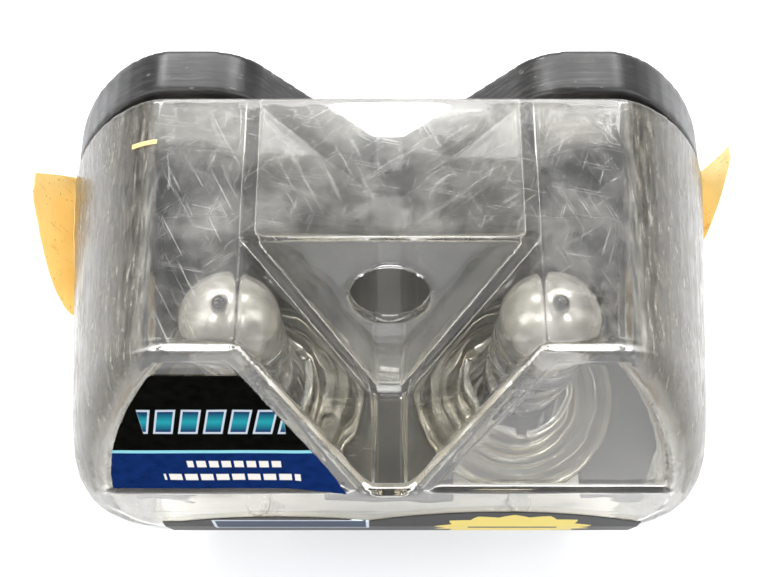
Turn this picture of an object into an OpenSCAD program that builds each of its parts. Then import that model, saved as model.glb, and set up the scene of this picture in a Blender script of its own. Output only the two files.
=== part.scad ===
// Twin pack of halogen headlight bulbs: a clear moulded front shell, a black back shell with a
// fork tray, and two bulbs that stand upright in the tray with their glass tips up.
// Front is -Y, up is +Z, and the origin is at the middle of the footprint, on the floor.

/* [Pack] */
// Height of the pack
case_h = 96; // [94:0.5:110]
// Depth of the clear front shell, from its open back rim to its front face
front_depth = 63.9; // [63:0.1:68]
// Depth of the black back shell behind that rim
back_depth = 9.4; // [6:0.1:14]
// Half the width of the back rim, at the sides
side_w = 65.6; // [65:0.1:70]
// Half the width of the flat top at the back rim
top_w = 38; // [36:0.1:40]
// Wall of the clear moulding
wall = 1.6; // [1.2:0.1:1.7]
// Depth at which the flat top ends and the sloped windows start
ridge = 43.8; // [43:0.1:45]

/* [Hang plate and valley] */
// Half the width of the valley at the top
valley_w = 23.2; // [22:0.1:24]
// Half the width of the valley at its floor
valley_floor_w = 2.7; // [2:0.1:4]
// Depth of the valley below the top
valley_h = 39; // [36:0.5:40]
// Length of the roof panel behind the hang plate
roof_len = 25.7; // [24:0.1:27]
// Diameter of the hang hole
hang_d = 13.5; // [10:0.5:14]
// Distance of the hang hole below the roof, along the plate
hang_drop = 13.7; // [12:0.1:18]

/* [Bulbs] */
// Distance of each bulb's axis from the middle
bulb_x = 27.2; // [27:0.1:28]
// Depth of the bulbs' axes in front of the back rim
bulb_f = 34.6; // [34:0.1:35]
// Height from the flange to the glass tip
tip_h = 60; // [58:0.5:60]
// Radius of the glass envelope
glass_r = 8.1; // [7.5:0.1:8.1]
// Radius of the flange
flange_r = 21.5; // [20:0.1:21.5]

/* [Hidden] */
$fn = 64;

label_t = 0.2;
// y of the back rim, which puts the middle of the whole depth, front label included, at y = 0
rim_y = (front_depth + label_t - back_depth) / 2;
// the windows lean by this much depth for each millimetre of height, down to the ledge
lean = 0.445;
ledge_drop = 36.5;
ledge_f = ridge + lean * ledge_drop;
// below the ledge the front leans less, down to a flat belly, and then comes in again
belly_top = 38;
belly_bottom = 30;
// the rounded shoulder ends this far below the top, and is this square
shoulder_h = 50;
shoulder_n = 1.6;
shoulder_steps = 14;
// the sides come in by this much for each millimetre forward
taper = 0.1;
// the flat top narrows by this much for each millimetre forward
top_taper = 3 / ridge;
// plan radius of the front corners, and radius of the bottom edges
corner_r = 12;
floor_r = 5;
window_steps = 5;
belly_steps = 5;
valley_slope = (valley_w - valley_floor_w) / valley_h;
// how much wider the valley's walls make it, measured along X
valley_wall_x = wall * sqrt(1 + pow(valley_slope, 2));
plate_t = 2.2;
plate_run = 15.8;
plate_lean = atan(plate_run / valley_h);
plate_len = norm([plate_run, valley_h]);
plate_slope = valley_slope * cos(plate_lean);
// a recess in each window, down to the ledge
recess = 0.85;
eps = 0.01;
// the flanges stand this far below the top
flange_z = case_h - 4 - tip_h;
flange_t = 2;
// each flange has a notch in its front edge, and a post of the clear shell stands in it
notch_r = 3.4;
notch_out = 1.2;
post_r = 2.6;

// depth f in front of the back rim, as a y
function y_at(f) = rim_y - f;

// Half the width of the pack at depth f
corner_start = front_depth - corner_r;
function straight_w(f) = side_w - taper * f;
function half_w(f) = f <= corner_start ? straight_w(f)
    : straight_w(corner_start) - corner_r + sqrt(max(0, pow(corner_r, 2) - pow(f - corner_start, 2)));

// Drop of the top edge at depth f: level to the ridge, then down the windows' slope
function top_drop(f) = f <= ridge ? 0 : f <= ledge_f ? (f - ridge) / lean
    : ledge_drop + (f - ledge_f) / (front_depth - ledge_f) * (case_h - belly_top - ledge_drop);

// Height of the underside at depth f: level, and then up under the belly
function floor_z(f) = f <= ledge_f ? 0
    : belly_bottom * (f - ledge_f) / (front_depth - ledge_f);

// Half the width of the flat top, and then of the windows, at depth f
window_grow = 17.5;
window_run = 18.4;
function flat_w(f) = f <= ridge ? top_w - top_taper * f
    : min(half_w(f) - 0.4,
          top_w - top_taper * ridge
          + window_grow * (1 - pow(max(0, 1 - (f - ridge) / window_run), 2)));

// Right half of the outline at depth f, inset by t, from the middle of the top down to the floor
function half_outline(f, t) =
    let (w = half_w(f) - t, e = flat_w(f) - t / 2, d = top_drop(f) + t,
         h = max(shoulder_h - d, 1), floor = floor_z(f) + t,
         r = min(floor_r, (case_h - d - h - floor) / 2))
    concat(
        [for (i = [0:shoulder_steps]) let (a = 90 * i / shoulder_steps)
            [e + (w - e) * pow(sin(a), 2 / shoulder_n),
             case_h - d - h + h * pow(cos(a), 2 / shoulder_n)]],
        [for (a = [0:22.5:90])
            [w - r + r * cos(a), floor + r - r * sin(a)]]);

function reversed(p) = [for (i = [len(p) - 1:-1:0]) p[i]];
function flipped(p) = [for (q = p) [-q[0], q[1]]];
function ring(f, t) = let (p = half_outline(f, t)) concat(p, reversed(flipped(p)));

// A loft through one ring for each depth; the depths are where the rings stand
module loft(rings, depths) {
    n = len(rings[0]);
    last = len(rings) - 1;
    polyhedron(
        points = [for (k = [0:last]) for (q = rings[k]) [q[0], y_at(depths[k]), q[1]]],
        faces = concat(
            [[for (i = [n - 1:-1:0]) i]],
            [for (k = [0:last - 1]) for (i = [0:n - 1]) let (j = (i + 1) % n)
                [k * n + i, k * n + j, (k + 1) * n + j]],
            [for (k = [0:last - 1]) for (i = [0:n - 1]) let (j = (i + 1) % n)
                [k * n + i, (k + 1) * n + j, (k + 1) * n + i]],
            [[for (i = [0:n - 1]) last * n + i]]));
}

// Depths of the rings: the ridge, down the windows, and closer and closer towards the belly
front_depths = concat(
    [for (i = [0:window_steps]) ridge + (ledge_f - ridge) * i / window_steps],
    [for (i = [1:belly_steps]) ledge_f + (front_depth - ledge_f) * sin(90 * i / belly_steps)]);

module case_outside() {
    depths = concat([0], front_depths);
    loft([for (f = depths) ring(f, 0)], depths);
}

module case_inside() {
    depths = concat([0], front_depths);
    loft([for (f = depths) ring(f, wall)], [for (f = depths) f == 0 ? -1 : f - wall]);
}

// Cross-section of the valley, made wider by x and deeper by z
module valley(x, z) {
    w = valley_w + x;
    fw = valley_floor_w + x;
    over = 5;
    translate([0, y_at(-2), 0]) rotate([90, 0, 0])
        linear_extrude(front_depth + 10)
            polygon([
                [-fw, case_h - valley_h - z], [fw, case_h - valley_h - z],
                [w, case_h], [w, case_h + over], [-w, case_h + over], [-w, case_h]]);
}

// The roof between the two chambers, and the plate that hangs on a peg, leaning forward
module clear_hang_plate() {
    wide = 2 * valley_w + 10;
    color([0.85, 0.88, 0.88, 0.4])
        difference() {
            intersection() {
                valley(0, 0);
                union() {
                    translate([-wide / 2, y_at(roof_len) + plate_t / 2, case_h - wall])
                        cube([wide, roof_len - plate_t / 2, wall]);
                    translate([0, y_at(roof_len), case_h]) rotate([90 - plate_lean, 0, 0])
                        translate([-wide / 2, -plate_len, -plate_t])
                            cube([wide, plate_len, plate_t]);
                }
            }
            translate([0, y_at(roof_len), case_h]) rotate([90 - plate_lean, 0, 0])
                translate([0, -hang_drop, -plate_t - 1]) cylinder(d = hang_d, h = plate_t + 2);
        }
}

// A shallow recess over each window, from just below the ridge down to the ledge
module window_recess(side) {
    margin = 1.6;
    top = 2.5;
    inner = function (h) valley_w + valley_wall_x - valley_slope * h + margin;
    edge = function (h) flat_w(ridge + lean * h) - margin;
    drops = [for (i = [0:6]) top + (ledge_drop - top) * i / 6];
    outline = concat([for (h = drops) [edge(h), -h]], [for (h = reversed(drops)) [inner(h), -h]]);
    stretch = sqrt(1 + pow(lean, 2));
    translate([0, y_at(ridge), case_h]) rotate([90 - atan(lean), 0, 0])
        translate([0, 0, -recess]) linear_extrude(recess + 2)
            polygon([for (q = outline) [side * q[0], q[1] * stretch]]);
}

// A post inside the front wall that stands in the notch of a bulb's flange
module locating_post(side) {
    f = bulb_f + flange_r + notch_out;
    translate([side * bulb_x, y_at(f), wall]) {
        cylinder(r = post_r, h = flange_z + 1.5 - wall);
        translate([-0.8, f - ledge_f + eps, 0]) cube([1.6, ledge_f - f, flange_z - 6]);
    }
}

// The clear moulding without its roof and hang plate
module clear_walls() {
    difference() {
        case_outside();
        difference() {
            case_inside();
            valley(valley_wall_x, wall);
        }
        valley(0, 0);
        for (side = [-1, 1]) window_recess(side);
    }
}

// The stretch of the moulding from z0 to z1, on one side or, at side 0, on both
module clear_part(side, z0, z1) {
    far = 200;
    color([0.85, 0.88, 0.88, 0.4])
        intersection() {
            clear_walls();
            translate([side > 0 ? 0 : -far, -far, z0]) cube([side == 0 ? 2 * far : far, 2 * far, z1 - z0]);
        }
}

shoulder_z = case_h - shoulder_h;
module clear_floor() { clear_part(0, -1, wall); }
module clear_lower(side) {
    clear_part(side, wall, shoulder_z);
    color([0.85, 0.88, 0.88, 0.4]) locating_post(side);
}
module clear_upper(side) { clear_part(side, shoulder_z, case_h + 1); }

// Outline of the back shell: the pack's own outline, inset, with a notch of its own.
// notch is [half width at the top, half width at its floor, depth], and its top corners are rounded
notch_round = 11;
module back_outline(inset, notch) {
    top = case_h - inset;
    turn = atan((notch[2] - inset) / (notch[0] - notch[1]));
    run = notch_round * tan(turn / 2);
    corner = [for (i = [6:-1:0]) let (a = 90 + turn * i / 6)
        [notch[0] + run + notch_round * cos(a), top - notch_round + notch_round * sin(a)]];
    right = concat([[notch[1], case_h - notch[2]]], corner, half_outline(0, inset));
    polygon(concat(right, reversed(flipped(right))));
}

module back_slab(inset, notch, f0, f1) {
    translate([0, y_at(f0), 0]) rotate([90, 0, 0])
        linear_extrude(f1 - f0) back_outline(inset, notch);
}

back_gap = 0.35;
seam = 1.1;
back_wall = 1.8;
spigot_inset = 3;
spigot_len = 8;
spigot_wall = 1.6;
rear_notch = [25.5, 2.7, 31];
rear_notch_in = [28, 4.5, 33];
// the spigot's notch clears the valley's walls
spigot_notch = [valley_w + valley_wall_x + 0.6, valley_floor_w + valley_wall_x + 0.6,
                valley_h + wall + 0.5];
spigot_notch_in = [spigot_notch[0] + 2, spigot_notch[1] + 1.4, spigot_notch[2] + spigot_wall];

plate_f = back_wall - back_depth;

module back_plate() {
    color([0.05, 0.05, 0.05]) back_slab(back_gap, rear_notch, -back_depth, plate_f);
}

// Rim and spigot of the back shell, which stand on its plate
module back_walls() {
    difference() {
        back_slab(back_gap, rear_notch, plate_f, -seam);
        back_slab(back_gap + back_wall, rear_notch_in, plate_f - 1, 1);
    }
    difference() {
        back_slab(spigot_inset, spigot_notch, plate_f, spigot_len);
        back_slab(spigot_inset + spigot_wall, spigot_notch_in, plate_f - 1, spigot_len + 1);
    }
    // the floor of the seam, which joins the rim to the spigot
    difference() {
        back_slab(back_gap + 1, rear_notch, -seam - 1.4, -seam);
        back_slab(spigot_inset + spigot_wall / 2, spigot_notch_in, -seam - 2, 0);
    }
}

module back_rim(side) {
    far = 200;
    color([0.05, 0.05, 0.05])
        intersection() {
            back_walls();
            translate([side > 0 ? 0 : -far, -far, -far]) cube([far, 2 * far, 2 * far]);
        }
}

// the tray stands a small gap below the flanges
tray_gap = 0.3;
tray_t = 2;
tray_top = flange_z - flange_t - tray_gap;
tray_front = 56.5;
fork_w = 27;
rib_t = 1.8;
foot_gap = 0.4;

rib_start = spigot_len + 0.6;

module bulb_tray() {
    inset = wall + 1.4;
    back_w = half_w(0) - spigot_inset - spigot_wall - 0.2;
    rib_z = wall + foot_gap;
    rib_end = tray_front - 6;
    front_w = half_w(tray_front) - inset - 3;
    middle_f = 46;
    middle_w = half_w(middle_f) - inset;
    color([0.06, 0.06, 0.06])
        difference() {
            union() {
                translate([0, 0, tray_top - tray_t]) linear_extrude(tray_t)
                    polygon([
                        [-back_w, y_at(plate_f)], [-back_w, y_at(spigot_len)],
                        [-middle_w, y_at(middle_f)], [-front_w, y_at(tray_front)],
                        [front_w, y_at(tray_front)], [middle_w, y_at(middle_f)],
                        [back_w, y_at(spigot_len)], [back_w, y_at(plate_f)]]);
                for (side = [-1, 1]) for (edge = [-fork_w / 2 - rib_t, fork_w / 2])
                    translate([side * bulb_x + edge, y_at(rib_end), rib_z])
                        cube([rib_t, rib_end - rib_start, tray_top - rib_z - 1]);
            }
            for (side = [-1, 1])
                translate([side * bulb_x, y_at(bulb_f), -eps]) {
                    cylinder(d = fork_w, h = tray_top + 1);
                    translate([-fork_w / 2, -60, 0]) cube([fork_w, 60, tray_top + 1]);
                }
        }
}

// A sheet that lies in the left window's recess
module window_label() {
    margin = 1.9;
    label_top = 6.4;
    drops = [for (i = [0:6]) label_top + (ledge_drop - 0.2 - label_top) * i / 6];
    inner = function (h) valley_w + valley_wall_x - valley_slope * h + margin;
    edge = function (h) flat_w(ridge + lean * h) - margin;
    outline = concat([for (h = drops) [-edge(h), -h]], [for (h = reversed(drops)) [-inner(h), -h]]);
    stretch = sqrt(1 + pow(lean, 2));
    color([0.03, 0.06, 0.35])
        translate([0, y_at(ridge), case_h]) rotate([90 - atan(lean), 0, 0])
            translate([0, 0, -recess]) linear_extrude(label_t)
                polygon([for (q = outline) [q[0], q[1] * stretch]]);
}

// Depth of the front at height z, from the foot up to the ledge
function front_f(z) = z < belly_bottom ? ledge_f + (front_depth - ledge_f) * z / belly_bottom
    : z <= belly_top ? front_depth
    : front_depth - (front_depth - ledge_f) * (z - belly_top) / (case_h - ledge_drop - belly_top);

// A sheet bent round the belly of the front, with two low humps for its top edge
module front_label() {
    left = 45;
    right = 50;
    bottom = 8;
    dip = 41;
    hump_r = 60;
    // [middle, top] of each hump
    humps = [[-22, 44.2], [22, 47.4]];
    bends = [bottom, belly_bottom, belly_top, humps[1][1]];
    sheet = concat([for (z = bends) [y_at(front_f(z)), z]],
                   [for (z = reversed(bends)) [y_at(front_f(z) + label_t), z]]);
    color([0.04, 0.04, 0.04])
        intersection() {
            rotate([90, 0, 90]) translate([0, 0, -left]) linear_extrude(left + right) polygon(sheet);
            translate([0, y_at(ledge_f - 5), 0]) rotate([90, 0, 0]) linear_extrude(20)
                union() {
                    translate([-left, bottom]) square([left + right, dip - bottom]);
                    for (hump = humps)
                        translate([hump[0], hump[1] - hump_r]) circle(r = hump_r, $fn = 96);
                }
        }
}

// Tape over the joint at one side: a patch that lies on the side wall, and above it a loose
// flap that stands up and leans out where the wall curves away.
// flap is [back depth, front depth, height]
tape_top = shoulder_z;
tape_t = 0.35;
tape_gap = 0.03;
flap_t = 0.5;
flap_out = 2.7;

module tape(side, flap) {
    patch = [[8, 14], [8, tape_top], [-50, tape_top], [-50, tape_top - 15],
             [-16, tape_top - 18], [-14, 14]];
    color([0.93, 0.8, 0.55])
        mirror([side < 0 ? 1 : 0, 0, 0])
            translate([straight_w(0) + tape_gap, y_at(0), 0]) rotate([0, 0, -atan(taper)]) {
                rotate([90, 0, 90]) linear_extrude(tape_t) polygon(patch);
                translate([0, 0, tape_top - 1]) rotate([0, atan(flap_out / flap[2]), 0])
                    rotate([90, 0, 90]) linear_extrude(flap_t)
                        polygon([
                            [-flap[0], 0], [-flap[0], flap[2] - 3], [-flap[0] - 2, flap[2]],
                            [-flap[0] - flap[3], flap[2] - 1], [-flap[0] - flap[3] - 3, flap[2] - 5],
                            [-flap[1], 0]]);
            }
}

// each flap is [where it starts, where it ends, length, width of its tip]
module left_tape() { tape(-1, [-3, 25, 23, 11]); }
module right_tape() { tape(1, [-9, 8, 17, 6]); }

// Everything of a bulb is drawn round its axis, with z = 0 at the top of its flange
module at_bulb(side) {
    translate([side * bulb_x, y_at(bulb_f), flange_z]) children();
}

glass_wall = 1;
glass_foot = 12;
press_w = 13;
press_t = 4.4;
press_bottom = -12;
pip_r = 1.3;

module glass() {
    dome_z = tip_h - 1.8 - glass_r;
    color([0.85, 0.88, 0.9, 0.5])
        difference() {
            union() {
                translate([0, 0, glass_foot]) cylinder(r = glass_r, h = dome_z - glass_foot);
                translate([0, 0, dome_z]) sphere(r = glass_r);
                translate([0, 0, glass_foot - 4.5]) cylinder(r1 = 4.6, r2 = glass_r, h = 4.5);
                translate([0, 0, dome_z]) cylinder(r = pip_r, h = tip_h - pip_r - dome_z);
                translate([0, 0, tip_h - pip_r]) sphere(r = pip_r);
                translate([-press_w / 2, -press_t / 2, press_bottom])
                    cube([press_w, press_t, glass_foot - press_bottom - 1]);
            }
            translate([0, 0, glass_foot]) cylinder(r = glass_r - glass_wall, h = dome_z - glass_foot);
            translate([0, 0, dome_z]) sphere(r = glass_r - glass_wall);
        }
}

main_z = 22;
dipped_z = 31;
coil_len = 5.4;

// A filament coil seen as its outer shape, with a thin leg at each end
module coil(z) {
    turns = 9;
    pitch = coil_len / turns;
    leg = 1;
    color([0.6, 0.6, 0.62])
        translate([0, 0, z]) rotate_extrude()
            polygon(concat(
                [[0, -leg], [0.2, -leg], [0.2, 0]],
                [for (i = [0:turns - 1]) for (q = [[0.55, 0.05], [0.85, 0.5], [0.55, 0.95]])
                    [q[0], pitch * (i + q[1])]],
                [[0.2, coil_len], [0.2, coil_len + leg], [0, coil_len + leg]]));
}

module main_filament() { coil(main_z); }
module dipped_filament() { coil(dipped_z); }

shield_r = 3.7;
shield_t = 0.35;

// The cup on the back side of the dipped filament
module beam_shield() {
    len = 9;
    color([0.75, 0.75, 0.78])
        translate([0, 0, dipped_z - 2]) difference() {
            union() {
                cylinder(r = shield_r, h = len);
            }
            translate([0, 0, shield_t]) cylinder(r = shield_r - shield_t, h = len);
            translate([-5, -10, -1]) cube([10, 10, len + 2]);
        }
}

wire_r = 0.4;
wire_x = 4.6;
foil_top = 5;
foil_bottom = -5;

module wire(x, y, z0, z1) {
    translate([x, y, z0]) cylinder(r = wire_r, h = z1 - z0, $fn = 24);
}

// A wire arm from the side post at x to the bulb's axis
module arm(x, z) {
    translate([min(x, 0), 0, z]) rotate([0, 90, 0]) cylinder(r = wire_r, h = abs(x), $fn = 24);
}

module lead_wires() {
    color([0.55, 0.55, 0.57])
        union() {
            wire(-wire_x, 0, foil_top, main_z + coil_len + 0.7);
            arm(-wire_x, main_z + coil_len + 0.7);
            wire(0, 0, foil_top, main_z - 0.7);
            wire(wire_x, 0, foil_top, dipped_z + coil_len + 0.7);
            arm(wire_x, dipped_z + coil_len + 0.7);
            // the common arm that also carries the shield
            translate([-wire_x, 0, main_z + coil_len]) cylinder(r = wire_r, h = 3.4, $fn = 24);
            arm(-wire_x, dipped_z - 1.7);
            for (x = [-wire_x, 0, wire_x]) wire(x, 0, press_bottom - 2, foil_bottom);
        }
}

module foils() {
    color([0.7, 0.72, 0.75])
        for (x = [-wire_x, 0, wire_x])
            translate([x - 1, -0.1, foil_bottom]) cube([2, 0.2, foil_top - foil_bottom]);
}

collar_r = 10.8;
collar_t = 1;
collar_h = 9;

module collar() {
    color([0.72, 0.72, 0.74])
        translate([0, 0, -flange_t]) difference() {
            union() {
                cylinder(r = collar_r, h = collar_h + flange_t);
                translate([0, 0, collar_h + flange_t - 1.2]) cylinder(r = collar_r + 0.5, h = 1.2);
            }
            translate([0, 0, -1]) cylinder(r = collar_r - collar_t, h = collar_h + flange_t + 2);
            for (a = [30:120:270])
                rotate([0, 0, a]) translate([0, -1, collar_h - 2]) cube([15, 2, 6]);
        }
}

module flange() {
    hole = collar_r + 0.1;
    color([0.75, 0.76, 0.78])
        difference() {
            translate([0, 0, -flange_t]) rotate_extrude()
                polygon([
                    [hole, 0], [flange_r - 0.4, 0], [flange_r, 0.4], [flange_r, 1.6],
                    [flange_r - 0.5, flange_t], [flange_r - 2.4, flange_t],
                    [flange_r - 3.6, 1], [hole + 2.6, 1], [hole + 1.4, flange_t + 0.6],
                    [hole, flange_t + 0.6]]);
            translate([0, -flange_r - notch_out, -flange_t - 1]) cylinder(r = notch_r, h = flange_t + 3);
            for (a = [28, 152])
                rotate([0, 0, a]) translate([flange_r + 0.6, 0, -flange_t - 1])
                    cylinder(r = 2, h = flange_t + 3);
        }
}

can_r = 12.2;
can_bottom = -16;

module base_can() {
    color([0.72, 0.72, 0.74])
        translate([0, 0, can_bottom]) rotate_extrude()
            polygon([
                [9.4, 1.2], [9.4, -can_bottom - flange_t], [can_r, -can_bottom - flange_t],
                [can_r, 9], [can_r - 0.7, 8.2], [can_r - 0.7, 6.4], [can_r, 5.6], [can_r, 1],
                [can_r - 1, 0], [8.2, 0], [8.2, 1.2]]);
}

insulator_t = 4;
blade_w = 8;
blade_t = 0.8;
blade_bottom = -28.5;
blade_r = 6.8;
slot_gap = 0.05;

module insulator() {
    t = insulator_t;
    color([0.3, 0.28, 0.26])
        difference() {
            union() {
                translate([0, 0, can_bottom - t]) cylinder(r = can_r - 0.6, h = t);
                translate([0, 0, can_bottom]) cylinder(r = 8, h = 1.6);
            }
            for (turn = [0, 90, -90]) rotate([0, 0, turn])
                translate([-blade_w / 2 - slot_gap, -blade_r - blade_t / 2 - slot_gap, can_bottom - t - 1])
                    cube([blade_w + 2 * slot_gap, blade_t + 2 * slot_gap, t + 1 - 0.8]);
        }
}

// A blade terminal, with a rounded tip and a small dimple hole, turned to its side of the base
module blade(turn) {
    top = can_bottom - 0.8;
    color([0.8, 0.8, 0.8])
        rotate([0, 0, turn]) translate([0, -blade_r + blade_t / 2, 0]) rotate([90, 0, 0])
            linear_extrude(blade_t) difference() {
                polygon([
                    [-blade_w / 2, top], [-blade_w / 2, blade_bottom + 1.5],
                    [-blade_w / 2 + 1.5, blade_bottom], [blade_w / 2 - 1.5, blade_bottom],
                    [blade_w / 2, blade_bottom + 1.5], [blade_w / 2, top]]);
                translate([0, blade_bottom + 4]) circle(r = 0.9, $fn = 24);
            }
}

clear_floor();
clear_lower(-1);  // clear_left_lower
clear_lower(1);  // clear_right_lower
clear_upper(-1);  // clear_left_upper
clear_upper(1);  // clear_right_upper
clear_hang_plate();
back_plate();
back_rim(-1);  // back_left_rim
back_rim(1);  // back_right_rim
bulb_tray();
window_label();
front_label();
left_tape();
right_tape();

for (b = [["left", -1], ["right", 1]]) {
    at_bulb(b[1]) glass();
    at_bulb(b[1]) main_filament();
    at_bulb(b[1]) dipped_filament();
    at_bulb(b[1]) beam_shield();
    at_bulb(b[1]) lead_wires();
    at_bulb(b[1]) foils();
    at_bulb(b[1]) collar();
    at_bulb(b[1]) flange();
    at_bulb(b[1]) base_can();
    at_bulb(b[1]) insulator();
    at_bulb(b[1]) blade(0);
    at_bulb(b[1]) blade(90);
    at_bulb(b[1]) blade(-90);
}
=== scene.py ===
"""Looks for the twin pack of headlight bulbs: clear shell, black back shell, two bulbs, labels and tape.

Everything is in metres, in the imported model's own frame: -Y is the front, +Z is up.
"""
import math

import bmesh
import bpy
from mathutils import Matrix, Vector, noise


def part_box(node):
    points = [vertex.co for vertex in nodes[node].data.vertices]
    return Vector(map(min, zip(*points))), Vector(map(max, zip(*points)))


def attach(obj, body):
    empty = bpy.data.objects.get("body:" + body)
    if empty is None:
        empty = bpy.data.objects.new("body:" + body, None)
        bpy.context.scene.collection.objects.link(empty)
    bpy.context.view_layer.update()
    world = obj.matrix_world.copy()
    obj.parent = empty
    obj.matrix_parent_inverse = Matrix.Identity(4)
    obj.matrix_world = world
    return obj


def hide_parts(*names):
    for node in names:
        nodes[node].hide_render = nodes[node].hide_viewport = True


MM = 0.001
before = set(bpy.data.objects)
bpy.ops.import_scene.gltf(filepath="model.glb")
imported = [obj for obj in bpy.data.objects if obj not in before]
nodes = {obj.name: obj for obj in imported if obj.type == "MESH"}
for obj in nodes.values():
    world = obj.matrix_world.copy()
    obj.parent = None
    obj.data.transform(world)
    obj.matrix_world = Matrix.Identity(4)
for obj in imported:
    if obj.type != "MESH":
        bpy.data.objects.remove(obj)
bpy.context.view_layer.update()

CLEAR_NODES = ("clear_floor", "clear_left_lower", "clear_right_lower",
               "clear_left_upper", "clear_right_upper", "clear_hang_plate")
BACK_NODES = ("back_plate", "back_left_rim", "back_right_rim")
UPPER_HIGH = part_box("clear_right_upper")[1]
RIM_Y = UPPER_HIGH.y                        # the clear shell's open back rim
TOP_Z = UPPER_HIGH.z
WINDOW_OUT = Vector((0, -0.914, 0.407))     # straight out from the sloped windows
GLASS_LOW, GLASS_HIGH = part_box("right_glass")
BULB_X = (GLASS_LOW.x + GLASS_HIGH.x) / 2
BULB_Y = (GLASS_LOW.y + GLASS_HIGH.y) / 2
FAR = 2.0                                   # past every part of the pack, for a band with one edge
CRISP = 0.1 * MM                            # the softness of a printed edge


# ---------------------------------------------------------------- node helpers

class Graph:
    """A short way to write a material's node tree."""

    def __init__(self, name):
        self.material = bpy.data.materials.new(name)
        self.material.use_nodes = True
        self.tree = self.material.node_tree
        self.tree.nodes.clear()
        self.out = self.add("ShaderNodeOutputMaterial")

    def add(self, kind, **settings):
        """A new node with its settings."""
        node = self.tree.nodes.new(kind)
        for key, value in settings.items():
            setattr(node, key, value)
        return node

    def link(self, source, target):
        """Join an output socket to an input socket."""
        self.tree.links.new(source, target)

    def put(self, socket, value):
        """Fill a socket with another node's output, a colour or a number."""
        if isinstance(value, bpy.types.NodeSocket):
            self.link(value, socket)
        elif isinstance(value, (tuple, list)) and len(value) == 3 and socket.type == "RGBA":
            socket.default_value = (*value, 1.0)
        else:
            socket.default_value = value

    def shader(self, **values):
        """A Principled shader, with its inputs named as keywords."""
        node = self.add("ShaderNodeBsdfPrincipled")
        for key, value in values.items():
            self.put(node.inputs[key.replace("_", " ")], value)
        return node

    def place(self):
        """The point's place in the model's frame, in metres."""
        return self.add("ShaderNodeTexCoord").outputs["Object"]

    def add_with(self, kind, first):
        """A node with its first input filled in."""
        node = self.add(kind)
        self.put(node.inputs[0], first)
        return node

    def axes(self, vector):
        """The X, Y and Z of a vector."""
        return self.add_with("ShaderNodeSeparateXYZ", vector).outputs

    def stretch(self, scale, rotation=(0, 0, 0), vector=None):
        """A place scaled and then turned, in degrees, to draw out a noise."""
        node = self.add("ShaderNodeMapping")
        self.put(node.inputs["Vector"], vector if vector is not None else self.place())
        node.inputs["Scale"].default_value = scale
        node.inputs["Rotation"].default_value = [math.radians(a) for a in rotation]
        return node.outputs["Vector"]

    def noise(self, scale, detail=4.0, rough=0.6, vector=None):
        """A noise from 0 to 1, through the place or another vector."""
        node = self.add("ShaderNodeTexNoise")
        self.put(node.inputs["Vector"], vector if vector is not None else self.place())
        node.inputs["Scale"].default_value = scale
        node.inputs["Detail"].default_value = detail
        node.inputs["Roughness"].default_value = rough
        return node.outputs["Fac"]

    def ramp(self, factor, *stops):
        """A colour ramp. Each stop is a position with a grey value or a colour."""
        node = self.add_with("ShaderNodeValToRGB", factor)
        ramp = node.color_ramp
        while len(ramp.elements) < len(stops):
            ramp.elements.new(0.5)
        for element, (position, colour) in zip(ramp.elements, stops):
            element.position = position
            grey = isinstance(colour, (int, float))
            element.color = (colour, colour, colour, 1) if grey else (*colour, 1)
        return node.outputs["Color"]

    def math(self, operation, *values, clamp=False):
        """One or more values, or outputs, put through a math node."""
        node = self.add("ShaderNodeMath", operation=operation, use_clamp=clamp)
        for socket, value in zip(node.inputs, values):
            self.put(socket, value)
        return node.outputs[0]

    def band(self, value, low, high, soft):
        """1 where value is between low and high, with soft edges."""
        up = self.add("ShaderNodeMapRange", interpolation_type="SMOOTHSTEP")
        down = self.add("ShaderNodeMapRange", interpolation_type="SMOOTHSTEP")
        for node, edge in ((up, low), (down, high)):
            self.put(node.inputs["Value"], value)
            node.inputs["From Min"].default_value = edge - soft
            node.inputs["From Max"].default_value = edge + soft
        down.inputs["To Min"].default_value = 1
        down.inputs["To Max"].default_value = 0
        return self.math("MULTIPLY", up.outputs[0], down.outputs[0])

    def mix(self, factor, a, b):
        """Colour a where factor is 0, and colour b where it is 1."""
        node = self.add("ShaderNodeMix", data_type="RGBA")
        self.put(node.inputs["Factor"], factor)
        self.put(node.inputs["A"], a)
        self.put(node.inputs["B"], b)
        return node.outputs["Result"]

    def blend(self, factor, a, b):
        """Shader a where factor is 0, and shader b where it is 1."""
        node = self.add("ShaderNodeMixShader")
        self.put(node.inputs[0], factor)
        self.link(a.outputs[0], node.inputs[1])
        self.link(b.outputs[0], node.inputs[2])
        return node

    def shadow_ray(self):
        """1 for a ray that only finds out what is in shadow, and 0 for any other."""
        return self.add("ShaderNodeLightPath").outputs["Is Shadow Ray"]

    def bump(self, height, strength, distance, normal=None):
        """A normal bumped by a height, on top of another bump if one is given."""
        node = self.add("ShaderNodeBump")
        self.put(node.inputs["Height"], height)
        node.inputs["Strength"].default_value = strength
        node.inputs["Distance"].default_value = distance
        if normal is not None:
            self.put(node.inputs["Normal"], normal)
        return node.outputs["Normal"]

    def finish(self, shader):
        """Send a shader to the output, and give back the finished material."""
        self.link(shader.outputs[0], self.out.inputs["Surface"])
        return self.material


def scratches(g, angle, length, width, low, high):
    """Thin straight scratches along one direction of the XY plane, as a 0 to 1 mask."""
    turned = g.stretch((1, 1, 1), (0, 0, angle))
    drawn = g.stretch((1 / length, 1 / width, 1 / length), vector=turned)
    return g.ramp(g.noise(1.0, 1.0, 0.4, drawn), (low, 0.0), (high, 1.0))


# ---------------------------------------------------------------- materials

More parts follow.
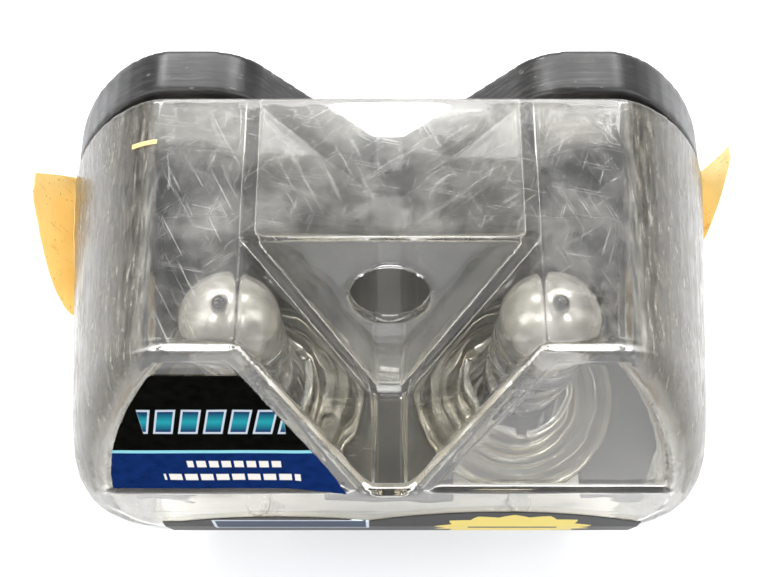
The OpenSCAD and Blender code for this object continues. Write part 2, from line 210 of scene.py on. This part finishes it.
def clear_plastic():
    """Clear moulded plastic: fine scratches and haze on top, grey frosted sides darkened with painted
    shade, worn ridges.
    """
    g = Graph("clear_plastic")
    flat_half = 38.5 * MM
    x, y, z = g.axes(g.place())
    geometry = g.add("ShaderNodeNewGeometry")
    across = g.math("ABSOLUTE", x)
    below_top = g.math("SUBTRACT", TOP_Z, z)
    # the rounded sides are scuffed grey, in short upright streaks, and darkened with painted shade
    facing = g.math("ABSOLUTE", g.axes(geometry.outputs["Normal"])[0])
    side = g.math("MULTIPLY", g.band(facing, 0.27, FAR, 0.16), g.band(across, flat_half, FAR, 2.5 * MM))
    streaks = g.noise(1.0, 6.0, 0.75, g.stretch((1500, 190, 260), (0, 14, 0)))
    mottle = g.noise(130, 5.0, 0.65)
    frost = g.math("MULTIPLY", side, g.ramp(streaks, (0.42, 0.25), (0.62, 1.0)))
    frost = g.math("MULTIPLY", frost, g.ramp(mottle, (0.35, 0.6), (0.6, 1.0)))
    # fine scratches and a cloudy rub on the flat top and the roof
    top = g.band(below_top, -FAR, 2.5 * MM, 1.2 * MM)
    directions = ((-35, 9 * MM, 0.2 * MM), (12, 12 * MM, 0.24 * MM), (-70, 7 * MM, 0.2 * MM))
    marks = scratches(g, 62, 11 * MM, 0.22 * MM, 0.69, 0.74)
    for angle, length, width in directions:
        marks = g.math("MAXIMUM", marks, scratches(g, angle, length, width, 0.7, 0.76))
    rub = g.ramp(g.noise(95, 6, 0.72), (0.4, 0.0), (0.72, 1.0))
    by_rim = g.band(y, RIM_Y - 4 * MM, FAR, 14 * MM)
    worked = g.math("ADD", g.math("MULTIPLY", marks, 0.13), g.math("MULTIPLY", rub, 0.12))
    haze = g.math("MULTIPLY", top, worked, clamp=True)
    haze = g.math("ADD", haze, g.math("MULTIPLY", top, g.math("MULTIPLY", by_rim, 0.12)), clamp=True)
    overall = g.ramp(g.noise(60, 5, 0.65), (0.35, 0.006), (0.7, 0.034))
    haze = g.math("MAXIMUM", haze, overall)
    # sharp edges are worn pale
    worn = g.ramp(geometry.outputs["Pointiness"], (0.535, 0.0), (0.6, 1.0))
    worn = g.math("MULTIPLY", worn, g.ramp(g.noise(420, 4, 0.7), (0.35, 0.15), (0.6, 1.0)))
    edge = g.math("MULTIPLY", worn, 0.42)
    # a very slow waviness of the moulding, and small dents
    slow = g.bump(g.noise(42, 2.0, 0.45), 0.32, 1.6 * MM)
    fine = g.bump(g.math("ADD", frost, haze), 0.35, 0.08 * MM, slow)
    rough = g.math("MULTIPLY_ADD", frost, 0.3, 0.018)
    # the glass is tinted darker on the rounded sides: painted shade
    tint = g.mix(side, (0.962, 0.957, 0.93), (0.56, 0.545, 0.49))
    glass = g.shader(Base_Color=tint, Roughness=rough, IOR=1.49,
                     Transmission_Weight=1.0, Normal=fine)
    # dark grey streaks on the sides: scuffs, and painted shade
    side_scuffs_and_painted_shade = g.ramp(streaks, (0.4, (0.07, 0.065, 0.052)), (0.54, (0.14, 0.13, 0.108)),
                  (0.68, (0.42, 0.4, 0.345)))
    pale = g.mix(side, (0.78, 0.765, 0.72), side_scuffs_and_painted_shade)
    pale = g.mix(g.math("MULTIPLY", worn, 0.7), pale, (0.75, 0.73, 0.68))
    skin = g.shader(Base_Color=pale, Roughness=0.55, Normal=fine, Specular_IOR_Level=0.15)
    amount = g.math("MAXIMUM", g.math("MULTIPLY", frost, 0.66), g.math("MAXIMUM", haze, edge))
    # light passes straight through in the shadow, so that the inside isn't dark
    clear = g.add("ShaderNodeBsdfTransparent")
    g.put(clear.inputs["Color"], g.mix(amount, (0.93, 0.92, 0.89), (0.45, 0.43, 0.4)))
    return g.finish(g.blend(g.shadow_ray(), g.blend(amount, glass, skin), clear))


def black_plastic():
    """Satin black plastic: scuffed along the humps and painted lighter at their tops as a highlight, with
    fine grain and specks of dust.
    """
    g = Graph("black_plastic")
    z = g.axes(g.place())[2]
    # the humps' tops are painted lighter grey: partly scuffs, partly a painted highlight where light falls
    # on them
    top = g.band(z, TOP_Z - 14 * MM, FAR, 7 * MM)
    brushed = g.noise(1.0, 5, 0.68, g.stretch((70, 1900, 240)))
    patch = g.ramp(g.noise(70, 4, 0.65), (0.38, 0.0), (0.68, 1.0))
    scuff_and_highlight = g.math("MULTIPLY", top, g.ramp(brushed, (0.42, 0.0), (0.7, 1.0)))
    scuff_and_highlight = g.math("MULTIPLY", scuff_and_highlight, patch)
    turned = g.stretch((420, 1500, 420), (0, 0, 24))
    nicks = g.ramp(g.noise(1.0, 2, 0.5, turned), (0.7, 0.0), (0.74, 1.0))
    dust = g.ramp(g.noise(1900, 1, 0.5), (0.8, 0.0), (0.83, 1.0))
    base = g.mix(g.math("MULTIPLY", scuff_and_highlight, 0.6), (0.007, 0.0066, 0.006), (0.13, 0.12, 0.11))
    base = g.mix(g.math("MULTIPLY", nicks, 0.35), base, (0.3, 0.28, 0.25))
    base = g.mix(g.math("MULTIPLY", dust, 0.5), base, (0.5, 0.46, 0.4))
    rough = g.ramp(g.noise(190, 4, 0.6), (0.3, 0.3), (0.7, 0.44))
    bump = g.bump(brushed, 0.2, 0.1 * MM, g.bump(g.noise(480, 4, 0.6), 0.18, 0.1 * MM))
    return g.finish(g.shader(Base_Color=base, Roughness=rough, Normal=bump, Specular_IOR_Level=0.45))


def quartz():
    """Quartz envelope: clear, with a cloudy silver cap over the tip."""
    g = Graph("quartz_glass")
    cap_low, cap_high = 13.5 * MM, 1.2 * MM     # below the tip of the pip
    z = g.axes(g.place())[2]
    cap = g.band(z, GLASS_HIGH.z - cap_low, GLASS_HIGH.z - cap_high, 0.5 * MM)
    swirl = g.noise(240, 3, 0.5)
    silver = g.shader(Base_Color=g.ramp(swirl, (0.3, (0.17, 0.165, 0.155)), (0.7, (0.33, 0.32, 0.3))),
                      Metallic=0.5, Roughness=0.26, Coat_Weight=1.0, Coat_Roughness=0.04,
                      Normal=g.bump(swirl, 0.12, 0.2 * MM))
    glass = g.shader(Base_Color=(0.93, 0.96, 1.0), Roughness=0.01, IOR=1.46,
                     Transmission_Weight=1.0, Normal=g.bump(g.noise(90, 1, 0.4), 0.1, 0.4 * MM))
    clear = g.add("ShaderNodeBsdfTransparent")
    passing = g.math("MULTIPLY", g.shadow_ray(), g.math("SUBTRACT", 1.0, cap))
    return g.finish(g.blend(passing, g.blend(cap, glass, silver), clear))


def metal(name, light, dark, rough, bump=0.15, grain=320, stretch=(1, 1, 1)):
    """A plated or drawn metal with cloudy tarnish and a fine grain."""
    g = Graph(name)
    cloud = g.noise(120, 5, 0.6)
    fine = g.noise(1.0, 3, 0.6, g.stretch([grain * s for s in stretch]))
    base = g.mix(g.ramp(cloud, (0.35, 0.0), (0.75, 1.0)), light, dark)
    body = g.shader(Base_Color=base, Metallic=1.0,
                    Roughness=g.ramp(fine, (0.25, rough), (0.75, rough + 0.16)),
                    Normal=g.bump(fine, bump, 0.1 * MM))
    return g.finish(body)


def stamped():
    """Nickel-plated flange: pressed rings round the bulb, cloudy plating and fine marks."""
    g = Graph("stamped_flange")
    inner_ring, outer_ring = (15.0 * MM, 15.8 * MM), (19.2 * MM, 19.7 * MM)
    x, y, _ = g.axes(g.place())
    from_x = g.math("SUBTRACT", g.math("ABSOLUTE", x), BULB_X)
    from_y = g.math("SUBTRACT", y, BULB_Y)
    reach = g.math("SQRT", g.math("ADD", g.math("MULTIPLY", from_x, from_x),
                                  g.math("MULTIPLY", from_y, from_y)))
    rings = g.math("MAXIMUM", g.band(reach, *inner_ring, 0.3 * MM), g.band(reach, *outer_ring, 0.2 * MM))
    cloud = g.noise(150, 5, 0.65)
    base = g.ramp(cloud, (0.3, (0.6, 0.58, 0.52)), (0.5, (0.36, 0.34, 0.29)), (0.7, (0.16, 0.145, 0.11)))
    shape = g.bump(rings, 0.9, 0.5 * MM, g.bump(g.noise(60, 2, 0.5), 0.5, 1.2 * MM))
    marks = g.noise(1.0, 3, 0.6, g.stretch((500, 120, 400), (0, 0, 30)))
    body = g.shader(Base_Color=base, Metallic=1.0, Roughness=g.ramp(cloud, (0.3, 0.1), (0.7, 0.26)),
                    Normal=g.bump(marks, 0.08, 0.1 * MM, shape))
    return g.finish(body)


def phenolic():
    """Dark brown moulded insulator with fine specks."""
    g = Graph("insulator")
    speck = g.noise(1100, 3, 0.6)
    base = g.ramp(speck, (0.3, (0.03, 0.025, 0.022)), (0.7, (0.09, 0.075, 0.065)))
    return g.finish(g.shader(Base_Color=base, Roughness=0.6, Normal=g.bump(speck, 0.25, 0.1 * MM)))


def label_film():
    """Window label: black above, a thin light line, blue below, with plain bars in place of words."""
    g = Graph("window_label_print")
    x, _, z = g.axes(g.place())
    low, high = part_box("window_label")
    middle_x = (low.x + high.x) / 2
    tall = high.z - low.z
    line_z = low.z + tall * 0.36
    block_z = line_z + tall * 0.27
    block_half, core_half = 3.1 * MM, 2.6 * MM
    bars = ((8.5 * MM, 2 * MM), (12.2 * MM, 1 * MM))    # half length, and shift to the right
    ink = g.noise(500, 3, 0.6)
    black = g.ramp(ink, (0.3, (0.002, 0.002, 0.002)), (0.7, (0.005, 0.005, 0.004)))
    blue = g.ramp(ink, (0.3, (0.004, 0.017, 0.085)), (0.7, (0.007, 0.026, 0.125)))
    upper = g.band(z, line_z, FAR, 0.12 * MM)
    colour = g.mix(upper, blue, black)
    line = g.band(z, line_z - 0.3 * MM, line_z + 0.5 * MM, CRISP)
    colour = g.mix(line, colour, (0.25, 0.6, 0.66))
    # a row of slanted blocks in the upper part: outlined, teal in their middle
    slanted = g.math("ADD", x, g.math("MULTIPLY", z, -0.25))
    wave = g.math("PINGPONG", g.math("ADD", slanted, 1.0), 2.1 * MM)
    row = g.band(z, block_z - block_half, block_z + block_half, CRISP)
    across = g.band(x, middle_x - 12.5 * MM, middle_x + 11.5 * MM, CRISP)
    block = g.math("MULTIPLY", g.band(wave, 0.45 * MM, FAR, CRISP / 2), g.math("MULTIPLY", row, across))
    core_row = g.band(z, block_z - core_half, block_z + core_half, CRISP)
    core = g.math("MULTIPLY", g.band(wave, 0.8 * MM, FAR, CRISP / 2), g.math("MULTIPLY", core_row, across))
    teal = g.add("ShaderNodeMapRange")
    g.put(teal.inputs["Value"], g.math("ABSOLUTE", g.math("SUBTRACT", z, block_z)))
    teal.inputs["From Max"].default_value = core_half
    fill = g.mix(teal.outputs[0], (0.02, 0.3, 0.34), (0.01, 0.015, 0.09))
    colour = g.mix(block, colour, (0.5, 0.56, 0.62))
    colour = g.mix(core, colour, fill)
    # two pale bars in the blue part
    for k, (half, shift) in enumerate(bars):
        bar_z = line_z - tall * (0.115 + 0.125 * k)
        bar = g.math("MULTIPLY", g.band(z, bar_z - 0.9 * MM, bar_z + 0.9 * MM, CRISP),
                     g.band(x, middle_x + shift - half, middle_x + shift + half, CRISP))
        comb = g.math("PINGPONG", g.math("ADD", x, 1.0), (1.1 + 0.3 * k) * MM)
        gaps = g.band(comb, 0.28 * MM, FAR, 0.04 * MM)
        colour = g.mix(g.math("MULTIPLY", bar, gaps), colour, (0.78, 0.74, 0.68))
    return g.finish(g.shader(Base_Color=colour, Roughness=0.6, Specular_IOR_Level=0.0,
                             Normal=g.bump(g.noise(130, 3, 0.5), 0.08, 0.3 * MM)))


def front_label_film():
    """Front label: printed black with a yellow burst, and bare cream paper on its back."""
    g = Graph("front_label_print")
    x, _, z = g.axes(g.place())
    low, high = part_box("front_label")
    burst_x, burst_z = high.x * 0.5, high.z - 11 * MM
    bar_left, bar_right = low.x * 0.78, -4 * MM
    bar_low, bar_high = high.z - 12 * MM, high.z - 5 * MM
    outline = 0.6 * MM
    normal = g.axes(g.add("ShaderNodeNewGeometry").outputs["Normal"])
    ink = g.noise(500, 3, 0.6)
    black = g.ramp(ink, (0.3, (0.005, 0.005, 0.005)), (0.7, (0.016, 0.016, 0.016)))
    # a burst with many points
    dx = g.math("SUBTRACT", x, burst_x)
    dz = g.math("MULTIPLY", g.math("SUBTRACT", z, burst_z), 1.7)
    angle = g.math("ARCTAN2", dz, dx)
    reach = g.math("SQRT", g.math("ADD", g.math("MULTIPLY", dx, dx), g.math("MULTIPLY", dz, dz)))
    teeth = g.math("PINGPONG", g.math("ADD", angle, 4.0), math.pi / 14)
    edge = g.math("MULTIPLY_ADD", teeth, 12 * MM, 13.5 * MM)
    inside = g.math("LESS_THAN", reach, edge)
    colour = g.mix(inside, black, (0.75, 0.6, 0.13))
    stripe = g.math("MULTIPLY", g.band(z, burst_z - 1.2 * MM, burst_z + 1.2 * MM, CRISP),
                    g.band(x, burst_x - 9 * MM, burst_x + 9 * MM, CRISP))
    colour = g.mix(stripe, colour, (0.02, 0.02, 0.02))
    # a plain outlined bar on the left half
    bar = g.math("MULTIPLY", g.band(z, bar_low, bar_high, CRISP), g.band(x, bar_left, bar_right, CRISP))
    inner = g.math("MULTIPLY", g.band(z, bar_low + outline, bar_high - outline, CRISP),
                   g.band(x, bar_left + outline, bar_right - outline, CRISP))
    colour = g.mix(bar, colour, (0.55, 0.6, 0.66))
    colour = g.mix(inner, colour, (0.01, 0.03, 0.07))
    paper = g.ramp(g.noise(300, 4, 0.6), (0.3, (0.66, 0.6, 0.46)), (0.7, (0.78, 0.73, 0.6)))
    back = g.math("GREATER_THAN", normal[1], 0.5)
    return g.finish(g.shader(Base_Color=g.mix(back, colour, paper), Roughness=0.45,
                             Specular_IOR_Level=0.2, Normal=g.bump(g.noise(200, 3, 0.5), 0.08, 0.2 * MM)))


def tape_film():
    """Yellowed tape: amber film with dark specks, and small creases painted darker as shade."""
    g = Graph("tape_film")
    cloud = g.noise(110, 4, 0.6)
    base = g.ramp(cloud, (0.3, (0.96, 0.76, 0.38)), (0.7, (1.0, 0.86, 0.5)))
    specks = g.ramp(g.noise(1400, 2, 0.5), (0.68, 0.0), (0.73, 1.0))
    base = g.mix(g.math("MULTIPLY", specks, 0.75), base, (0.3, 0.17, 0.05))
    crease = g.noise(1.0, 3, 0.6, g.stretch((300, 900, 120), (25, 0, 0)))
    # the creases are painted darker: painted shade in them
    crease_shade = g.ramp(crease, (0.62, 0.0), (0.66, 1.0))
    base = g.mix(g.math("MULTIPLY", crease_shade, 0.3), base, (0.55, 0.36, 0.13))
    body = g.shader(Base_Color=base, Roughness=0.38, Normal=g.bump(crease, 0.3, 0.2 * MM))
    through = g.add("ShaderNodeBsdfTranslucent")
    g.put(through.inputs["Color"], base)
    return g.finish(g.blend(0.5, body, through))


CLEAR = clear_plastic()
BLACK = black_plastic()
QUARTZ = quartz()
NICKEL = metal("nickel_plate", (0.62, 0.61, 0.58), (0.34, 0.32, 0.28), 0.1)
TUNGSTEN = metal("tungsten", (0.38, 0.37, 0.36), (0.2, 0.19, 0.18), 0.35)
MOLYBDENUM = metal("molybdenum", (0.66, 0.66, 0.68), (0.45, 0.45, 0.47), 0.2)
TINNED = metal("tinned_brass", (0.74, 0.73, 0.7), (0.55, 0.52, 0.46), 0.22, 0.2, 500, (0.2, 1, 1))
PHENOLIC = phenolic()
LABEL = label_film()
STAMPED = stamped()
FRONT = front_label_film()
TAPE = tape_film()


# ---------------------------------------------------------------- mesh helpers

def shown(name, data):
    """A new object in the scene, made from a mesh, a light or a camera."""
    item = bpy.data.objects.new(name, data)
    bpy.context.scene.collection.objects.link(item)
    return item


def paint(mesh, material):
    """Make a material a mesh's only one."""
    mesh.materials.clear()
    mesh.materials.append(material)


def make_piece(name, mesh, material, body, slot, *replaced):
    """A piece made from a mesh, which rides on its body and stands for the replaced CAD nodes."""
    piece = shown(name, mesh)
    paint(mesh, material)
    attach(piece, body)
    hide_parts(*replaced)


def dress(node, material):
    """Give a CAD node its material."""
    paint(nodes[node].data, material)


def applied(mesh, *modifiers):
    """A new mesh: the given one with modifiers applied. Each is (kind, settings)."""
    holder = shown("holder", mesh)
    for kind, settings in modifiers:
        modifier = holder.modifiers.new(kind, kind)
        for key, value in settings.items():
            setattr(modifier, key, value)
    result = bpy.data.meshes.new_from_object(
        holder.evaluated_get(bpy.context.evaluated_depsgraph_get()))
    bpy.data.objects.remove(holder)
    return result


def smooth(mesh, angle=None):
    """Shade a mesh smooth, apart from edges sharper than the angle in degrees, if one is given."""
    for face in mesh.polygons:
        face.use_smooth = True
    if angle is not None:
        work = bmesh.new()
        work.from_mesh(mesh)
        for edge in work.edges:
            sharp = len(edge.link_faces) == 2 and edge.calc_face_angle(0) > math.radians(angle)
            edge.smooth = not sharp
        work.to_mesh(mesh)
        work.free()
    return mesh


def finished(work, name):
    """A mesh from what has been built in a bmesh, which is freed."""
    mesh = bpy.data.meshes.new(name)
    work.to_mesh(mesh)
    work.free()
    return mesh


def joined(*names):
    """One mesh from the CAD nodes that are parts of one moulding."""
    work = bmesh.new()
    for name in names:
        work.from_mesh(nodes[name].data)
    return finished(work, "joined")


def moulded(*names, voxel, rounds, keep):
    """A moulded version of some CAD nodes, with their edges rounded off."""
    return smooth(applied(
        joined(*names),
        ("REMESH", {"mode": "VOXEL", "voxel_size": voxel}),
        ("SMOOTH", {"factor": 0.5, "iterations": rounds}),
        ("DECIMATE", {"ratio": keep})))


def refined(name, longest):
    """A CAD node's mesh cut into small triangles, ready to be creased."""
    work = bmesh.new()
    work.from_mesh(nodes[name].data)
    bmesh.ops.remove_doubles(work, verts=work.verts, dist=1e-6)
    bmesh.ops.triangulate(work, faces=work.faces)
    for _ in range(9):
        edges = [e for e in work.edges if e.calc_length() > longest]
        if not edges:
            break
        bmesh.ops.subdivide_edges(work, edges=edges, cuts=1)
        bmesh.ops.triangulate(work, faces=work.faces)
    return finished(work, name)


def tube(path, radius, sides=10):
    """A round wire along a path."""
    work = bmesh.new()
    turns = [2 * math.pi * k / sides for k in range(sides)]
    across = None
    rings = []
    for i, point in enumerate(path):
        ahead = (path[min(i + 1, len(path) - 1)] - path[max(i - 1, 0)]).normalized()
        across = ahead.orthogonal() if across is None else across - ahead * across.dot(ahead)
        across.normalize()
        other = ahead.cross(across)
        rings.append([work.verts.new(point + radius * (math.cos(a) * across + math.sin(a) * other))
                      for a in turns])
    for one, two in zip(rings, rings[1:]):
        for k in range(sides):
            work.faces.new((one[k], one[(k + 1) % sides], two[(k + 1) % sides], two[k]))
    work.faces.new(reversed(rings[0]))
    work.faces.new(rings[-1])
    return smooth(finished(work, "tube"))


# ---------------------------------------------------------------- pieces

def make_shells():
    """The clear shell, the black back shell and the tray, each as one moulding."""
    make_piece("clear_shell_moulding", moulded(*CLEAR_NODES, voxel=0.5 * MM, rounds=3, keep=0.5), CLEAR,
               "clear_shell", "clear_plastic", *CLEAR_NODES)
    make_piece("back_shell_moulding", moulded(*BACK_NODES, voxel=0.6 * MM, rounds=4, keep=0.35), BLACK,
               "back_shell", "black_plastic", *BACK_NODES)
    make_piece("bulb_tray_moulding", moulded("bulb_tray", voxel=0.5 * MM, rounds=2, keep=0.3), BLACK,
               "back_shell", "black_plastic", "bulb_tray")


def make_coil(side, part):
    """A filament as a real helix, with a straight leg at each end."""
    wire, leg, lead_in = 0.11 * MM, 0.8 * MM, 0.2 * MM
    turns, steps = 13, 14
    low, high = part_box(f"{side}_{part}")
    radius = (high.x - low.x) / 2 - wire
    middle = (low + high) / 2
    start, end = low.z + leg, high.z - leg

    def point(z, reach=0.0, angle=0.0):
        return Vector((middle.x + reach * math.cos(angle), middle.y + reach * math.sin(angle), z))

    path = [point(low.z + wire), point(start - lead_in)]
    for i in range(turns * steps + 1):
        path.append(point(start + (end - start) * i / (turns * steps), radius, 2 * math.pi * i / steps))
    path += [point(end + lead_in), point(high.z - wire)]
    make_piece(f"{side}_{part}_coil", tube(path, wire), TUNGSTEN,
               f"{side}_bulb", "tungsten", f"{side}_{part}")


def make_bulb(side):
    """One bulb: its envelope, pressed metal parts, coils, wires and terminals."""
    make_piece(f"{side}_envelope", moulded(f"{side}_glass", voxel=0.28 * MM, rounds=3, keep=0.5), QUARTZ,
               f"{side}_bulb", "quartz_glass", f"{side}_glass")
    for part, material in (("flange", STAMPED), ("collar", NICKEL), ("base_can", NICKEL)):
        pressing = moulded(f"{side}_{part}", voxel=0.3 * MM, rounds=3, keep=0.4)
        make_piece(f"{side}_{part}_pressing", pressing, material,
                   f"{side}_bulb", "nickel", f"{side}_{part}")
    for part in ("main_filament", "dipped_filament"):
        make_coil(side, part)
    for part in ("beam_shield", "lead_wires", "foils"):
        dress(f"{side}_{part}", MOLYBDENUM)
    for part in ("dipped_blade", "main_blade", "earth_blade"):
        dress(f"{side}_{part}", TINNED)
    dress(f"{side}_insulator", PHENOLIC)


def shoulder(hand, depth, turn, proud=0.1):
    """A point on the pack's rounded shoulder: turn 0 is the flat top's edge, 90 the side wall."""
    side_w, top_w, height, power = 65.6 - 0.1 * depth, 38 - 0.07 * max(depth, 0), 50, 1.25
    angle = math.radians(turn)
    x = top_w + (side_w - top_w) * math.sin(angle) ** power + math.sin(angle) * proud
    z = height * math.cos(angle) ** power - height + math.cos(angle) * proud
    return Vector((hand * x * MM, RIM_Y - depth * MM, TOP_Z + z * MM))


def film(work, rows, out, thick=0.22 * MM):
    """A thin closed sheet through rows of points, with small ripples, thickened outwards."""
    crest = 0.22 * MM
    layers = []
    for layer in (0, 1):
        grid = []
        for row in rows:
            ripple = [crest * max(0.0, noise.noise(p * 260) + 0.4 * noise.noise(p * 700)) for p in row]
            grid.append([work.verts.new(p + out * (r + layer * thick)) for p, r in zip(row, ripple)])
        layers.append(grid)
    high, wide = len(rows) - 1, len(rows[0]) - 1
    for i in range(high):
        for k in range(wide):
            for grid in layers:
                work.faces.new((grid[i][k], grid[i + 1][k], grid[i + 1][k + 1], grid[i][k + 1]))
    inner, outer = layers
    rim = [(0, k) for k in range(wide)] + [(i, wide) for i in range(high)]
    rim += [(high, k) for k in range(wide, 0, -1)] + [(i, 0) for i in range(high, 0, -1)]
    for (a, b), (c, d) in zip(rim, rim[1:] + rim[:1]):
        work.faces.new((inner[a][b], inner[c][d], outer[c][d], outer[a][b]))


def spread(start, end, count):
    """Evenly spaced values from start to end."""
    return [start + (end - start) * i / count for i in range(count + 1)]


def make_tape(side):
    """Yellowed tape: stuck to the side wall and over the shoulder, with a curled loose flap.

    Depths go from the clear shell's back rim to the front, and heights from the floor, in mm.
    """
    left = side == "left"
    hand = -1 if left else 1
    out = Vector((hand, 0, 0))
    tape_back, strip_low, strip_high, short_low, flap_low = -9, 31, 46, 14, 45.5
    long_end, short_end = (50, 15) if left else (48, 12)
    work = bmesh.new()

    def wall(depth, height, lean=0.0):
        return Vector((hand * (65.75 - 0.1 * depth + lean) * MM, RIM_Y - depth * MM, height * MM))

    # the stuck part: a long strip, and a short one under it
    film(work, [[wall(depth, height) for depth in spread(tape_back, long_end, 60)]
                for height in spread(strip_low, strip_high, 16)], out)
    film(work, [[wall(depth, height)
                 for depth in spread(tape_back, short_end + 0.05 * (height - short_low), 26)]
                for height in spread(short_low, strip_low, 18)], out)
    # over the shoulder
    start, end, reach = (-6, 24, 23) if left else (-8, 9, 14)
    middle, half = (start + end) / 2, (end - start) / 2
    rows = []
    for depth in spread(start, end, 30):
        top = 90 - reach * math.sqrt(max(0.002, 1 - ((depth - middle) / half) ** 2))
        rows.append([shoulder(hand, depth, turn) for turn in spread(89.9, top, 12)])
    film(work, rows, out, 0.12 * MM)
    # the loose flap, which leans outward
    tall = 21.5 if left else 17
    rows = []
    for rise in spread(0, tall, 24):
        up = rise / tall
        back = tape_back + 8.5 * up ** 1.2 if left else tape_back
        front = 4 + 18 * (1 - up ** 1.8) if left else -6.5 + 14 * (1 - up ** 1.3)
        lean = 3.3 * up ** 0.8 + 0.35 * math.sin(2.5 * up)
        rows.append([wall(depth, flap_low + rise - 0.5 * up * abs(depth) / 9, lean + 0.1 * depth)
                     for depth in spread(back, front, 22)])
    film(work, rows, -out)
    # a small offcut on the left shoulder
    if left:
        film(work, [[shoulder(hand, depth, turn) for depth in (7.9, 8.3, 8.7)]
                    for turn in spread(3, 15, 8)], out)
    bmesh.ops.recalc_face_normals(work, faces=work.faces)
    name = f"{side}_tape_film"
    make_piece(name, smooth(finished(work, name), 60), TAPE, "clear_shell", "tape", f"{side}_tape")


def make_window_label():
    """The window label, with a lifted and creased lower corner by the valley."""
    wide, tall = 11 * MM, 9 * MM        # the lifted corner
    low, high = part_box("window_label")
    mesh = refined("window_label", 0.9 * MM)
    for vertex in mesh.vertices:
        place = vertex.co.copy()
        corner = max(0.0, 1 - math.hypot((high.x - place.x) / wide, (place.z - low.z) / tall))
        lift = 1.3 * MM * corner ** 1.4 + 0.25 * MM * corner * noise.noise(place * 500)
        ripple = 0.05 * MM * (1 + noise.noise(place * 170))
        vertex.co += WINDOW_OUT * (lift + ripple)
    make_piece("window_label_film", smooth(mesh, 50), LABEL, "clear_shell", "label", "window_label")


make_shells()
make_window_label()
dress("front_label", FRONT)
for side in ("left", "right"):
    make_tape(side)
    make_bulb(side)


# ---------------------------------------------------------------- stage

def plate(name, corners, material):
    """A flat four-cornered sheet that belongs to the stage."""
    mesh = bpy.data.meshes.new(name)
    mesh.from_pydata(corners, [], [(0, 1, 2, 3)])
    mesh.materials.append(material)
    shown(name, mesh)


def light(name, place, size, power):
    """A soft rectangular light, turned to the middle of the pack's top."""
    data = bpy.data.lights.new(name, "AREA")
    data.shape = "RECTANGLE"
    data.size, data.size_y = size
    data.energy = power
    lamp = shown(name, data)
    lamp.location = place
    lamp.rotation_euler = (Vector((0, 0, TOP_Z)) - lamp.location).to_track_quat("-Z", "Y").to_euler()


def make_stage():
    """Pale floor, pale surroundings, soft lights and a dark card."""
    g = Graph("floor")
    pale = g.shader(Base_Color=g.ramp(g.noise(3, 2, 0.5), (0.3, 0.9), (0.7, 0.92)), Roughness=0.8)
    half = 3.0
    plate("floor", [(-half, -half, 0), (half, -half, 0), (half, half, 0), (-half, half, 0)], g.finish(pale))

    world = bpy.data.worlds.new("world")
    bpy.context.scene.world = world
    world.use_nodes = True
    sky = world.node_tree.nodes["Background"]
    sky.inputs["Color"].default_value = (0.9, 0.93, 1.0, 1)
    sky.inputs["Strength"].default_value = 0.7

    light("back_softbox", (0.0, 0.62, 0.72), (1.1, 0.4), 11)
    light("left_softbox", (-0.85, -0.1, 0.55), (0.35, 0.7), 3)
    light("right_softbox", (0.85, 0.0, 0.55), (0.35, 0.7), 3)
    for hand in (-1, 1):
        light("small_lamp", (hand * 0.24, -0.12, 0.52), (0.05, 0.09), 0.75)
        light("rear_lamp", (hand * 0.3, 0.35, 0.45), (0.06, 0.12), 0.7)

    # the plastic and the metal mirror the card, which hangs over the camera
    g = Graph("dark_card")
    wide, near, far, up = 0.13, -0.24, 0.1, 0.42
    plate("dark_card", [(-wide, near, up), (wide, near, up), (wide, far, up), (-wide, far, up)],
          g.finish(g.shader(Base_Color=(0.04, 0.04, 0.04), Roughness=0.9)))


def make_camera():
    """A close view from above the front, aimed at the pack's top."""
    aim = Vector((-1 * MM, RIM_Y - 33.8 * MM, TOP_Z))
    pitch = math.radians(19.5)
    away = 146.8 * MM
    data = bpy.data.cameras.new("camera")
    data.sensor_width = 36
    data.lens = 44.53
    data.clip_start = 0.005
    camera = shown("camera", data)
    camera.rotation_euler = (pitch, 0, 0)
    camera.location = aim + away * Vector((0, -math.sin(pitch), math.cos(pitch)))
    bpy.context.scene.camera = camera


make_stage()
make_camera()
bpy.context.scene.view_settings.view_transform = "Standard"
